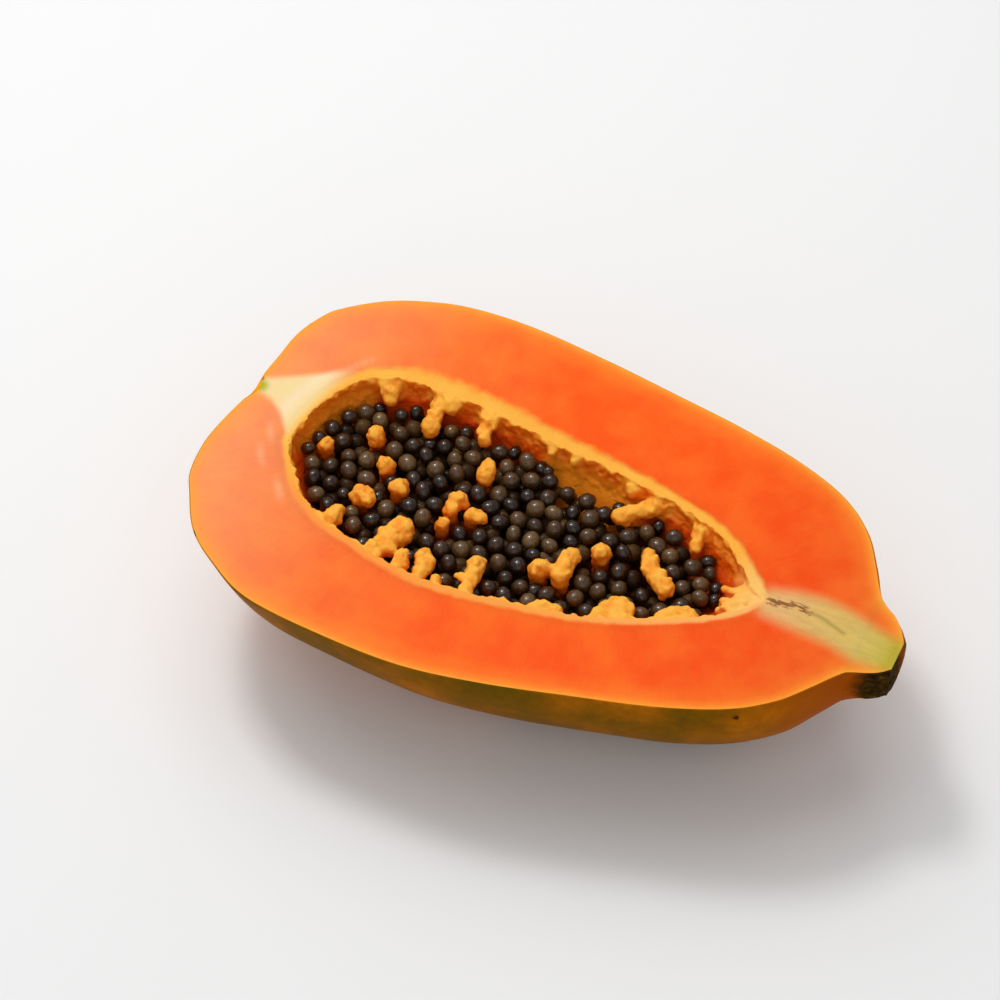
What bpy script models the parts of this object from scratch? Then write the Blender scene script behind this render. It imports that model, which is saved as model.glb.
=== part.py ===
"""Half a ripe papaya, cut lengthwise and lying on its round back with the cut face up.

Three pieces: the fruit half (skin, flesh and the pulp that lines its seed cavity), the mass of seeds,
and half of the short woody stump of the stalk.

Frame: metres, +Z up. X runs from the blossom end (-) to the stem end (+), the cut face is level and the
origin lies on the surface that the fruit rests on, under the middle of its length and width.
"""
import bmesh
import bpy
import numpy as np

# Driving dimensions, in millimetres
CUT = 58.6            # height of the cut face above the flat spot
CAVITY_RISE = 0.175   # height of the cavity's middle above the cut face, over half its width
SEED_RADIUS = 3.1
SEED_SPACING = 5.9    # least distance between two seeds' middles
SEED_TRIES = 16000    # random spots that are tried for seeds
GAP = 0.5             # clearance between the fruit and the seeds
JOINT_GAP = 0.3       # clearance between the fruit and the stump
LIFT = 4.0            # height of the uncut blank above the cut face
STALK_RADIUS = 2.2    # foot of a lump that stands among the seeds

# The fruit from the blossom end to the stem end: far edge x, y and near edge x, y of its cut face, and how high
# the middle of its round section stands above that face. The cut slants: it leaves less than half of the fruit
# at the blossom end and more than half at the stem end.
OUTLINE = (
    (-109.0, 8.6, -109.0, 8.6, 0.0),
    (-110.5, 14.6, -111.8, 2.6, 8.0),
    (-109.6, 24.6, -114.2, -9.4, 16.0),
    (-108.3, 35.6, -114.9, -18.4, 20.5),
    (-104.1, 45.6, -113.5, -29.4, 22.0),
    (-99.6, 51.0, -109.9, -36.7, 21.8),
    (-89.8, 58.5, -102.0, -49.2, 20.6),
    (-78.8, 63.8, -91.0, -57.9, 18.8),
    (-63.0, 68.2, -75.0, -65.9, 16.2),
    (-41.0, 69.3, -49.0, -68.9, 12.6),
    (-13.0, 66.6, -21.0, -69.1, 8.4),
    (13.0, 62.9, 5.0, -64.6, 4.6),
    (37.0, 59.2, 31.0, -57.7, 1.0),
    (59.0, 54.2, 55.0, -50.9, -0.8),
    (77.0, 47.1, 75.0, -42.7, -2.2),
    (89.0, 37.4, 87.5, -33.8, -3.6),
    (96.5, 26.2, 95.5, -24.4, -5.0),
    (101.0, 17.7, 101.0, -16.7, -6.4),
    (102.5, 15.2, 102.5, -14.8, -7.0),
)
OUTLINE_STEPS = 2        # rings between two rows of the outline
BACK_SIDES = 24          # flats across the round back

# The cavity's rim in the cut face: x, far edge y, near edge y
RIM = (
    (-91.0, -5.5, -5.5),
    (-90.4, 3.2, -6.6),
    (-88.6, 11.5, -9.4),
    (-85.6, 19.6, -13.7),
    (-81.5, 25.5, -19.2),
    (-77.0, 29.2, -23.5),
    (-67.0, 32.4, -29.1),
    (-56.0, 32.8, -31.9),
    (-46.0, 32.6, -34.6),
    (-30.0, 30.9, -36.6),
    (-17.0, 28.9, -35.8),
    (0.0, 27.1, -33.3),
    (15.0, 25.3, -30.5),
    (30.0, 22.6, -25.9),
    (42.0, 19.4, -20.8),
    (52.0, 14.7, -15.7),
    (60.0, 7.6, -10.6),
    (65.0, 3.0, -6.3),
    (70.0, -0.2, -0.2),
)
CAVITY_SIDES = 18

# The stump in the same terms as the fruit's outline
STUMP = (
    (102.5 + JOINT_GAP, 14.9, 102.5 + JOINT_GAP, -14.5, -6.6),
    (105.2, 12.9, 105.2, -13.6, -6.8),
    (108.4, 10.8, 108.4, -12.4, -7.0),
    (111.8, 7.2, 111.8, -10.6, -7.0),
    (114.9, 2.4, 114.9, -8.0, -6.6),
)
STUMP_SIDES = 12

# Pulp lumps that grow from the cavity's wall: each a path of x, y, depth under the cut face, radius
RIM_LUMPS = (
    ((-72.4, 34.0, 3.2, 4.0), (-71.6, 29.6, 4.0, 3.6), (-71.0, 27.2, 5.2, 3.0)),
    ((-56.4, 35.0, 3.0, 3.2), (-55.0, 28.2, 4.0, 2.5), (-54.1, 21.2, 5.2, 3.4)),
    ((-50.4, 35.0, 2.6, 2.6), (-50.7, 29.6, 3.0, 2.3)),
    ((-39.4, 34.5, 3.0, 3.1), (-38.0, 27.8, 4.0, 2.7), (-36.6, 23.9, 5.0, 2.5)),
    ((-13.6, 31.5, 2.4, 2.0), (-13.9, 26.8, 2.8, 1.7)),
    ((-5.5, 31.0, 2.4, 2.2), (-5.8, 26.4, 2.8, 1.9)),
    ((13.8, 30.0, 3.0, 4.0), (15.0, 25.0, 3.8, 3.4)),
    ((30.0, 27.5, 3.0, 3.4), (26.0, 23.0, 4.2, 3.2), (20.4, 18.8, 5.2, 2.8), (15.2, 14.4, 5.8, 3.1)),
    ((39.8, 23.5, 3.0, 2.8), (41.0, 16.0, 4.4, 2.5), (41.3, 12.9, 5.2, 2.4)),
    ((69.0, 0.5, 3.0, 2.4), (60.4, 2.2, 4.2, 2.1)),
    ((69.0, -1.5, 3.2, 2.6), (58.6, -4.0, 4.6, 2.3)),
    ((64.0, -11.0, 3.0, 2.4), (61.4, -3.2, 3.4, 1.9)),
    ((-67.2, -33.5, 3.0, 3.8), (-66.0, -26.4, 3.6, 3.3), (-65.6, -20.8, 4.4, 2.5)),
    ((-49.6, -35.0, 4.0, 3.6), (-47.0, -27.0, 5.2, 4.6), (-44.8, -19.2, 5.4, 4.9)),
    ((-38.8, -40.0, 3.0, 3.4), (-38.4, -32.0, 3.4, 3.2)),
    ((-31.8, -41.0, 3.0, 3.0), (-31.5, -32.0, 3.4, 2.6), (-31.3, -27.8, 4.0, 3.2)),
    ((-25.4, -41.0, 2.8, 2.4), (-25.8, -33.0, 3.0, 2.0)),
    ((-15.4, -40.5, 3.0, 3.2), (-16.0, -28.4, 3.8, 2.7), (-17.4, -21.4, 4.6, 3.0)),
    ((-16.0, -29.4, 3.4, 1.9), (-20.6, -28.8, 3.4, 1.4)),
    ((6.6, -33.6, 3.2, 3.4), (12.4, -32.6, 3.2, 3.4)),
    ((24.4, -28.6, 3.4, 3.8), (33.4, -24.0, 3.4, 3.8)),
    ((41.0, -21.4, 3.0, 3.1), (52.4, -15.4, 3.0, 2.8)),
)

# Pulp lumps that stand up from the cavity's floor among the seeds, each its head's path in the same terms
STANDING_LUMPS = (
    ((-81.7, 1.9, 6.6, 2.8),),
    ((-68.7, 12.5, 5.9, 3.0), (-68.1, 10.5, 5.6, 3.1)),
    ((-60.8, 2.5, 5.9, 3.3),),
    ((-52.9, -4.2, 5.6, 3.2),),
    ((-62.5, -11.5, 4.8, 3.6), (-59.9, -12.9, 4.6, 3.4)),
    ((-34.3, -5.1, 5.9, 2.8), (-33.5, -0.3, 5.7, 3.2)),
    ((-34.5, -11.2, 5.9, 2.6),),
    ((-27.7, -4.6, 5.8, 2.3), (-24.3, -4.2, 5.6, 2.5)),
    ((-30.4, 11.7, 6.0, 2.8), (-31.0, 15.5, 5.9, 2.8)),
    ((0.8, -15.9, 4.2, 3.5),),
    ((7.9, -15.1, 4.4, 3.5), (7.9, -6.1, 5.0, 3.3)),
    ((15.6, -1.4, 5.0, 3.4),),
    ((29.3, 3.9, 5.0, 2.6), (33.2, -1.7, 4.7, 3.2), (39.7, -6.3, 4.2, 3.3)),
)
LUMP_SIDES = 7

# The bare hollow under the far rim, where no seeds lie: its ends x, y, its depth and its radius
BARE = ((-7.0, 26.0), (10.0, 24.0), 9.0, 4.5)

# The pile's height: depth of the seeds' middles at the frame's middle, and its rise to the stem and near side
PILE_DEPTH = 7.6
PILE_RISE = (0.004, -0.01)
PILE_WOBBLE = 0.7        # how far a seed may lie over or under the pile's slope
CORE_BELOW_SEEDS = 1.3   # how far the core's top lies under the seeds' middles
CORE_INSET = 1.5         # how far the core stays off the cavity's wall


def clear_scene():
    """Remove every object of the open file."""
    for item in list(bpy.data.objects):
        bpy.data.objects.remove(item, do_unlink=True)


def material(name, colour, roughness):
    """A Principled material of one colour (linear red, green, blue)."""
    made = bpy.data.materials.new(name)
    made.use_nodes = True
    shader = made.node_tree.nodes["Principled BSDF"]
    shader.inputs["Base Color"].default_value = (*colour, 1.0)
    shader.inputs["Roughness"].default_value = roughness
    shader.inputs["Metallic"].default_value = 0.0
    return made


def curve_through(points, steps):
    """A smooth Catmull-Rom curve through the points, with so many steps from one to the next."""
    points = np.asarray(points, float)
    ends = np.vstack([2 * points[0] - points[1], points, 2 * points[-1] - points[-2]])
    t = np.linspace(0, 1, steps, endpoint=False)[:, None]
    spans = [
        b + t * ((c - a) + t * ((2 * a - 5 * b + 4 * c - d) + t * (3 * b - a - 3 * c + d))) / 2
        for a, b, c, d in zip(ends, ends[1:], ends[2:], ends[3:])
    ]
    return np.vstack([*spans, points[-1:]])


def new_object(name, mesh_data, surface):
    """Merge a bmesh's doubled points, turn its faces outwards and put it in the scene."""
    bmesh.ops.remove_doubles(mesh_data, verts=mesh_data.verts, dist=1e-6)
    bmesh.ops.recalc_face_normals(mesh_data, faces=mesh_data.faces)
    mesh = bpy.data.meshes.new(name)
    mesh_data.to_mesh(mesh)
    mesh_data.free()
    mesh.materials.append(surface)
    made = bpy.data.objects.new(name, mesh)
    bpy.context.scene.collection.objects.link(made)
    return made


def grid_mesh(rings, round_loops):
    """Quads between neighbouring rings of points (mm); round loops close on themselves."""
    made = bmesh.new()
    rows = [[made.verts.new(point / 1000) for point in ring] for ring in rings]
    count = len(rows[0])
    for low, high in zip(rows, rows[1:]):
        for j in range(count if round_loops else count - 1):
            k = (j + 1) % count
            made.faces.new((low[j], low[k], high[k], high[j]))
    return made, rows


def round_rings(far, near, rise, sides):
    """Arcs below the cut face, each between a point of its far and its near edge, with two ends LIFT above them.

    An arc is the part of a circle under the cut face, and rise is the height of the circle's middle over it.
    """
    middle, half = (far + near) / 2, (far - near) / 2
    width = np.linalg.norm(half, axis=1)
    across = half / np.maximum(width, 1e-9)[:, None]
    radius, start = np.hypot(width, rise), np.arctan2(rise, width)
    turn = start[:, None] + (np.pi - 2 * start[:, None]) * np.linspace(0, 1, sides + 1)
    flat = middle[:, None] + across[:, None] * (radius[:, None] * np.cos(turn))[:, :, None]
    rings = np.dstack([flat, CUT + rise[:, None] - radius[:, None] * np.sin(turn)])
    raised = np.array([0.0, 0.0, LIFT])
    return np.concatenate([rings[:, :1] + raised, rings, rings[:, -1:] + raised], axis=1)


def trough(name, rings, surface):
    """The closed solid of a row of half rings, with a flat top and, where the last ring is open, a flat end."""
    made, rows = grid_mesh(rings, round_loops=False)
    far_side = [row[0] for row in rows]
    near_side = [row[-1] for row in rows[1:]]
    if np.ptp(rings[-1][:, 1]) > 1e-3:
        made.faces.new(rows[-1])
    else:
        near_side.pop()
    if np.ptp(rings[0][:, 1]) > 1e-3:
        made.faces.new(rows[0])
        near_side.insert(0, rows[0][-1])
    made.faces.new(far_side + near_side[::-1])
    return new_object(name, made, surface)


def strand(name, path, surface):
    """A round lump carried along a path of x, y, z, radius (mm), with rounded ends."""
    path = np.asarray(path, float)
    if len(path) == 1:
        path = np.vstack([path, path + (0, 0, 0.1, 0)])
    ahead = np.gradient(path[:, :3], axis=0)
    ahead /= np.linalg.norm(ahead, axis=1)[:, None]
    radius = path[:, 3]
    bulge = np.array([1.0, 0.72])
    first = path[0, :3] - np.outer(bulge, ahead[0]) * radius[0]
    last = path[-1, :3] + np.outer(bulge[::-1], ahead[-1]) * radius[-1]
    places = np.vstack([first, path[:, :3], last])
    sizes = np.concatenate([[0, 0.7 * radius[0]], radius, [0.7 * radius[-1], 0]])
    ahead = np.vstack([ahead[[0, 0]], ahead, ahead[[-1, -1]]])
    aside = np.cross(ahead, (0.31, 0.17, 0.93))
    aside /= np.linalg.norm(aside, axis=1)[:, None]
    upward = np.cross(aside, ahead)
    turn = np.linspace(0, 2 * np.pi, LUMP_SIDES, endpoint=False)[None, :, None]
    spread = np.cos(turn) * aside[:, None] + np.sin(turn) * upward[:, None]
    made, _ = grid_mesh(places[:, None] + sizes[:, None, None] * spread, round_loops=True)
    return new_object(name, made, surface)


def block(name, low, high, surface):
    """A box from its lowest to its highest corner, in mm."""
    made = bmesh.new()
    bmesh.ops.create_cube(made, size=1.0)
    low, high = np.array(low) / 1000, np.array(high) / 1000
    bmesh.ops.scale(made, vec=high - low, verts=made.verts)
    bmesh.ops.translate(made, vec=(low + high) / 2, verts=made.verts)
    return new_object(name, made, surface)


def combine(body, operation, tools):
    """Join the tools to the body or cut it by them, in one exact Boolean, and remove the tools."""
    group = bpy.data.collections.new("tools")
    bpy.context.scene.collection.children.link(group)
    for tool in tools:
        group.objects.link(tool)
    step = body.modifiers.new("combine", "BOOLEAN")
    step.operation = operation
    step.solver = "EXACT"
    step.operand_type = "COLLECTION"
    step.collection = group
    evaluated = body.evaluated_get(bpy.context.evaluated_depsgraph_get())
    result = bpy.data.meshes.new_from_object(evaluated)
    body.modifiers.remove(step)
    body.data = result
    for tool in tools:
        bpy.data.objects.remove(tool, do_unlink=True)
    bpy.data.collections.remove(group)


def finish_shading(body):
    """Shade the round surfaces smooth and keep the knife's edge sharp."""
    body.data.shade_smooth()
    body.data.set_sharp_from_angle(angle=np.radians(50))


def below_cut(path):
    """A lump's path with its depths turned into heights."""
    path = np.array(path, float)
    path[:, 2] = CUT - path[:, 2]
    return path


def cavity_section(x):
    """The cavity's middle line in the cut face at x, half its width there and its round section's radius."""
    rim = curve_through(RIM, 2)
    far, near = np.interp(x, rim[:, 0], rim[:, 1]), np.interp(x, rim[:, 0], rim[:, 2])
    half = (far - near) / 2
    return (far + near) / 2, half, half * np.hypot(1, CAVITY_RISE)


def cavity_rings(inset, sides):
    """Arcs of the cavity, or of what lies so far inside its wall and reaches under the seeds."""
    rim = curve_through(RIM, 2)
    half = (rim[:, 1] - rim[:, 2]) / 2
    if inset > 0:
        deep = half > PILE_DEPTH + 2.5 * inset
        rim, half = rim[deep], half[deep] - inset
    far, near = rim[:, [0, 1]] - (0, inset), rim[:, [0, 2]] + (0, inset)
    return round_rings(far, near, CAVITY_RISE * half, sides)


def standing_strands():
    """Every standing lump's head and its stalk, whose foot is sunk in the cavity's floor."""
    strands = []
    for path in STANDING_LUMPS:
        head = below_cut(path)
        middle, half, radius = cavity_section(head[0, 0])
        across = min(abs(head[0, 1] - middle), half)
        floor = CUT + CAVITY_RISE * half - np.sqrt(radius**2 - across**2)
        foot = np.array([[*head[0, :2], floor - STALK_RADIUS, STALK_RADIUS]])
        strands.append((head, np.vstack([foot, head[:1]])))
    return strands


def pile_height(x, y):
    """Height of the seeds' middles over a point of the frame."""
    return CUT - PILE_DEPTH + PILE_RISE[0] * x + PILE_RISE[1] * y


def lump_balls():
    """The lumps and the bare hollow as balls of x, y, z, radius, which the seeds keep clear of."""
    paths = [below_cut(path) for path in RIM_LUMPS]
    paths += [path for pair in standing_strands() for path in pair]
    (x0, y0), (x1, y1), depth, radius = BARE
    paths.append(np.array([[x0, y0, CUT - depth, radius], [x1, y1, CUT - depth, radius]]))
    balls = []
    for path in paths:
        step = np.linspace(0, len(path) - 1, 12)
        balls.append(np.column_stack([np.interp(step, np.arange(len(path)), path[:, k]) for k in range(4)]))
    return np.concatenate(balls)


def lump_room(places, balls):
    """Each place's least distance to the balls' surfaces, and the direction away from the nearest one."""
    away = places[:, None] - balls[None, :, :3]
    length = np.linalg.norm(away, axis=2)
    nearest = np.argmin(length - balls[:, 3], axis=1)
    row = np.arange(len(places))
    return length[row, nearest] - balls[nearest, 3], away[row, nearest] / length[row, nearest][:, None]


def wall_room(places):
    """Each place's distance to the cavity's wall (under 0 is in the flesh), and the direction away from it."""
    def inside(spots):
        middle, half, radius = cavity_section(spots[:, 0])
        return radius - np.hypot(spots[:, 1] - middle, spots[:, 2] - CUT - CAVITY_RISE * half)

    slope = np.stack([inside(places + step) - inside(places - step) for step in 0.5 * np.eye(3)], axis=1)
    steepness = np.linalg.norm(slope, axis=1)
    return inside(places) / steepness, slope / steepness[:, None]


def seed_places():
    """Where the seeds lie: from the blossom end on, each in the first of many random spots that has room for it."""
    draw = np.random.default_rng(11)
    low, high = np.array([-90.0, -38.0]), np.array([64.0, 34.0])
    spots = draw.uniform(low, high, (SEED_TRIES, 2))
    height = pile_height(spots[:, 0], spots[:, 1]) + draw.uniform(-PILE_WOBBLE, PILE_WOBBLE, SEED_TRIES)
    spots = np.column_stack([spots, height])
    room = np.minimum(wall_room(spots)[0], lump_room(spots, lump_balls())[0])
    spots = spots[room > SEED_RADIUS + GAP]
    spots = spots[np.argsort(spots[:, 0])]
    kept = spots[:1]
    for spot in spots[1:]:
        if np.linalg.norm(kept - spot, axis=1).min() > SEED_SPACING:
            kept = np.vstack([kept, spot])
    return kept


def make_fruit_half(skin, flesh, pulp):
    """Skin and flesh with the open cavity, its pulp lumps and the flat spot, cut level by one knife stroke."""
    outline = curve_through(OUTLINE, OUTLINE_STEPS)
    rings = round_rings(outline[:, :2], outline[:, 2:4], outline[:, 4], BACK_SIDES)
    fruit = trough("fruit_half", rings, skin)
    rings = cavity_rings(0.0, CAVITY_SIDES)
    rings[:, [0, -1], 2] += LIFT
    combine(fruit, "DIFFERENCE", [trough("cavity", rings, pulp)])
    lumps = [strand("lump", below_cut(path), pulp) for path in RIM_LUMPS]
    for head, stalk in standing_strands():
        lumps.append(strand("head", head, pulp))
        lumps.append(strand("stalk", stalk, pulp))
    combine(fruit, "UNION", lumps)
    knife = block("knife", (-150, -100, CUT), (150, 100, CUT + 3 * LIFT), flesh)
    table = block("table", (-150, -100, -20), (150, 100, 0), skin)
    combine(fruit, "DIFFERENCE", [knife, table])
    finish_shading(fruit)
    return fruit


def seed_core(surface):
    """The smaller core that the seeds stand out of: the cavity's shape, a little inside its wall, with a sloping top."""
    core = trough("seeds", cavity_rings(CORE_INSET, CAVITY_SIDES), surface)
    top = bmesh.new()
    top.from_mesh(core.data)
    height = pile_height(0, 0) - CORE_BELOW_SEEDS
    geometry = top.verts[:] + top.edges[:] + top.faces[:]
    slope = (-PILE_RISE[0], -PILE_RISE[1], 1.0)
    bmesh.ops.bisect_plane(
        top, geom=geometry, plane_co=(0, 0, height / 1000), plane_no=slope, clear_outer=True, dist=1e-7
    )
    open_edges = [edge for edge in top.edges if edge.is_boundary]
    bmesh.ops.holes_fill(top, edges=open_edges, sides=0)
    bmesh.ops.recalc_face_normals(top, faces=top.faces)
    top.to_mesh(core.data)
    top.free()
    return core


def make_seeds(surface):
    """The seeds as one mass: a core with plain holes where lumps of pulp stand, and the seeds sunk into its top."""
    mass = seed_core(surface)
    wider = (0, 0, 0, GAP + 0.2)
    holes = [strand("hole", below_cut(path) + wider, surface) for path in RIM_LUMPS]
    for head, stalk in standing_strands():
        low, high = stalk[0, :3] - (0, 0, 5), stalk[-1, :3] + (0, 0, 5)
        radius = head[0, 3] + GAP + 0.2
        holes.append(strand("hole", [[*low, radius], [*high, radius]], surface))
        holes.append(strand("hole", head + wider, surface))
    combine(mass, "DIFFERENCE", holes)
    seeds = []
    for place in seed_places():
        ball = bmesh.new()
        bmesh.ops.create_icosphere(ball, subdivisions=1, radius=SEED_RADIUS / 1000)
        bmesh.ops.translate(ball, vec=place / 1000, verts=ball.verts)
        seeds.append(new_object("seed", ball, surface))
    combine(mass, "UNION", seeds)
    finish_shading(mass)
    return mass


def make_stem_stub(bark):
    """Half of the stalk's woody stump, narrowing to its broken end, cut level with the fruit."""
    rows = curve_through(STUMP, 2)
    rings = round_rings(rows[:, :2], rows[:, 2:4], rows[:, 4], STUMP_SIDES)
    stub = trough("stem_stub", rings, bark)
    combine(stub, "DIFFERENCE", [block("knife", (90, -100, CUT), (150, 100, CUT + 2 * LIFT), bark)])
    finish_shading(stub)
    return stub


clear_scene()
SKIN = material("Ripe papaya skin", (0.78, 0.36, 0.03), 0.42)
FLESH = material("Ripe papaya flesh", (0.95, 0.12, 0.02), 0.35)
PULP = material("Orange cavity pulp", (1.0, 0.42, 0.06), 0.5)
SEED_COAT = material("Wet black papaya seeds", (0.02, 0.014, 0.012), 0.3)
BARK = material("Dry stalk bark", (0.05, 0.035, 0.012), 0.8)
make_fruit_half(SKIN, FLESH, PULP)
make_seeds(SEED_COAT)
make_stem_stub(BARK)
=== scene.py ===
"""Half a ripe papaya, cut face up: skin, flesh, pulp, seeds and the stalk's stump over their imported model.

The tables are in millimetres: X runs from the blossom end to the stem end, Y to the far side, Z up from the
flat spot that the fruit rests on.
"""

import bmesh
import bpy
import numpy as np
from mathutils import Matrix, Vector


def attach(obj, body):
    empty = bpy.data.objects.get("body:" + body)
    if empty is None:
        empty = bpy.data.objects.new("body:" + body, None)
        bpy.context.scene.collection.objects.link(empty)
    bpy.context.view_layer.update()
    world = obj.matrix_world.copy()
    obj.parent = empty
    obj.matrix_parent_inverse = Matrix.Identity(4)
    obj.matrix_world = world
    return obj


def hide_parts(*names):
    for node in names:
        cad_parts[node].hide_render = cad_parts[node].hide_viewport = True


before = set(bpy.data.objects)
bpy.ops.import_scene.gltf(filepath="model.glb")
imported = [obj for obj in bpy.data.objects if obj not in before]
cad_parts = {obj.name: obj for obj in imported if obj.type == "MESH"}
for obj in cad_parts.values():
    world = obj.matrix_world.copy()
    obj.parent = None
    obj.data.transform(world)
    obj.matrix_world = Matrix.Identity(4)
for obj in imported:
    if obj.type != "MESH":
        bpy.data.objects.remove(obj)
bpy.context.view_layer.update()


# The fruit half. A ripe papaya has a thin waxy skin on soft wet flesh that grew as one piece with it, and a
# knife stroke has laid the flesh open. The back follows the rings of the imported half, and the cut face is a
# flat ring between the skin's edge and the rim of the seed cavity.
CUT = 58.6               # height of the cut face
EDGE = 0.45              # how round the knife left the skin's edge
CAVITY_RISE = 0.175      # height of the cavity's middle above the cut face, over half its width
BURIED = 1.6             # how far the flesh reaches in under the pulp
FRUIT_END = 102.5        # x where the fruit ends and the stalk begins

# Far edge x, y and near edge x, y of the cut face, and how high its round section's middle stands above it
OUTLINE = (
    (-109.0, 8.6, -109.0, 8.6, 0.0),
    (-110.5, 14.6, -111.8, 2.6, 8.0),
    (-109.6, 24.6, -114.2, -9.4, 16.0),
    (-108.3, 35.6, -114.9, -18.4, 20.5),
    (-104.1, 45.6, -113.5, -29.4, 22.0),
    (-99.6, 51.0, -109.9, -36.7, 21.8),
    (-89.8, 58.5, -102.0, -49.2, 20.6),
    (-78.8, 63.8, -91.0, -57.9, 18.8),
    (-63.0, 68.2, -75.0, -65.9, 16.2),
    (-41.0, 69.3, -49.0, -68.9, 12.6),
    (-13.0, 66.6, -21.0, -69.1, 8.4),
    (13.0, 62.9, 5.0, -64.6, 4.6),
    (37.0, 59.2, 31.0, -57.7, 1.0),
    (59.0, 54.2, 55.0, -50.9, -0.8),
    (77.0, 47.1, 75.0, -42.7, -2.2),
    (89.0, 37.4, 87.5, -33.8, -3.6),
    (96.5, 26.2, 95.5, -24.4, -5.0),
    (101.0, 17.7, 101.0, -16.7, -6.4),
    (102.5, 15.2, 102.5, -14.8, -7.0),
)

# The same for the stump of the stalk, whose foot is sunk in the fruit
STUMP = (
    (101.6, 16.2, 101.6, -15.6, -6.6),
    (102.5, 15.25, 102.5, -14.85, -7.0),
    (105.2, 12.9, 105.2, -13.6, -6.9),
    (108.4, 10.8, 108.4, -12.4, -7.0),
    (111.8, 7.2, 111.8, -10.6, -7.0),
    (114.7, 2.4, 114.7, -8.0, -6.6),
)

# The cavity's rim in the cut face: x, far edge y, near edge y
RIM = (
    (-91.0, -5.5, -5.5),
    (-90.4, 3.2, -6.6),
    (-88.6, 11.5, -9.4),
    (-85.6, 19.6, -13.7),
    (-81.5, 25.5, -19.2),
    (-77.0, 29.2, -23.5),
    (-67.0, 32.4, -29.1),
    (-56.0, 32.8, -31.9),
    (-46.0, 32.6, -34.6),
    (-30.0, 30.9, -36.6),
    (-17.0, 28.9, -35.8),
    (0.0, 27.1, -33.3),
    (15.0, 25.3, -30.5),
    (30.0, 22.6, -25.9),
    (42.0, 19.4, -20.8),
    (52.0, 14.7, -15.7),
    (60.0, 7.6, -10.6),
    (65.0, 3.0, -6.3),
    (70.0, -0.2, -0.2),
)

# How wide the yellow lining shows in the cut face at x, on the far and on the near side
LINING = ((-95.0, 2.0, 1.8), (-80.0, 3.6, 2.0), (-62.0, 5.4, 2.4), (-30.0, 5.2, 2.9), (-10.0, 4.4, 2.6),
          (10.0, 3.6, 2.4), (35.0, 2.8, 2.2), (55.0, 3.0, 1.9), (66.0, 3.2, 1.8), (75.0, 1.0, 1.0))

# The pale wedge at the blossom end and the fibrous core at the stem end: x, upper edge y, lower edge y
CREAM = ((-112.0, 13.0, 10.0), (-109.0, 14.0, 8.6), (-103.5, 17.0, 6.9), (-98.3, 20.0, 3.5),
         (-93.5, 23.0, -2.5), (-89.6, 26.0, -8.4), (-84.0, 29.5, -14.0))
CORE = ((62.0, 6.0, -7.0), (68.7, 4.4, -5.2), (73.0, 5.2, -6.0), (78.1, 6.9, -6.4), (87.0, 7.8, -7.0),
        (92.0, 7.4, -7.4), (98.2, 6.2, -8.6), (103.4, 4.6, -10.0), (110.0, 3.2, -10.0), (116.0, 2.6, -9.0))

# Lines of x, y: the core's dark dashes and its olive strand, and the wedge's green tip and dry scar
DASHES = ((71.5, 0.2), (75.3, 0.8), (78.0, 1.2), (83.6, 1.3))
VEIN = ((85.0, 1.2), (88.7, 0.9), (92.2, -0.3), (96.5, -1.8))
DOT = ((-109.2, 10.6), (-109.2, 10.6))
SCAR = ((-110.6, 13.4), (-110.6, 13.4))
# The bare hollow among the seeds and the wall at the blossom end, where the pulp is painted lighter as
# painted light, and pale streaks beside the wedge
HOLLOW = ((-9.0, 24.0), (11.0, 22.0))
LIT_BLOSSOM_WALL = ((-91.0, 3.0), (-89.0, 10.0), (-86.0, 18.0), (-81.0, 25.0))
STREAKS = (
    ((-88.3, 26.8), (-86.9, 28.8), (-83.3, 32.8), (-79.6, 37.4)),
    ((-98.8, -9.0), (-96.3, -14.4), (-92.3, -19.5)),
    ((-88.8, -18.8), (-86.9, -21.4), (-81.1, -29.4)),
    ((-100.0, -0.5), (-97.6, -5.0), (-94.6, -9.6)),
)


def curve_through(points, steps):
    """A smooth Catmull-Rom curve through the points, with so many steps from one to the next."""
    points = np.asarray(points, float)
    ends = np.vstack([2 * points[0] - points[1], points, 2 * points[-1] - points[-2]])
    t = np.linspace(0, 1, steps, endpoint=False)[:, None]
    spans = [
        b + t * ((c - a) + t * ((2 * a - 5 * b + 4 * c - d) + t * (3 * b - a - 3 * c + d))) / 2
        for a, b, c, d in zip(ends, ends[1:], ends[2:], ends[3:])
    ]
    return np.vstack([*spans, points[-1:]])


def step_up(value):
    """The S-curve 3t^2 - 2t^3 of a value held between 0 and 1."""
    t = np.clip(value, 0, 1)
    return t * t * (3 - 2 * t)


def unit(vectors):
    """Vectors over their lengths."""
    return vectors / np.maximum(np.linalg.norm(vectors, axis=-1, keepdims=True), 1e-9)


def read_at(places, marks, rows):
    """Rows of numbers that belong to marks, read at places between the marks."""
    return np.column_stack([np.interp(places, marks, column) for column in np.asarray(rows).T])


def edges_at(table, x):
    """The two edges of a table at x."""
    marks, far, near = np.array(table).T
    return np.interp(x, marks, far), np.interp(x, marks, near)


def soft_noise(places, size, seed):
    """Smooth random values from -1 to 1: random numbers on a lattice of so many mm, blended by S-curves."""
    lattice = np.random.default_rng(seed).uniform(-1, 1, (32, 32, 32))
    scaled = places / size + 64
    cell = np.floor(scaled).astype(int)
    t = step_up(scaled - cell)
    value = np.zeros(places.shape[:-1])
    for corner in np.ndindex(2, 2, 2):
        weight = np.where(corner, t, 1 - t).prod(axis=-1)
        i, j, k = np.moveaxis((cell + corner) % 32, -1, 0)
        value += weight * lattice[i, j, k]
    return value


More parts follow.
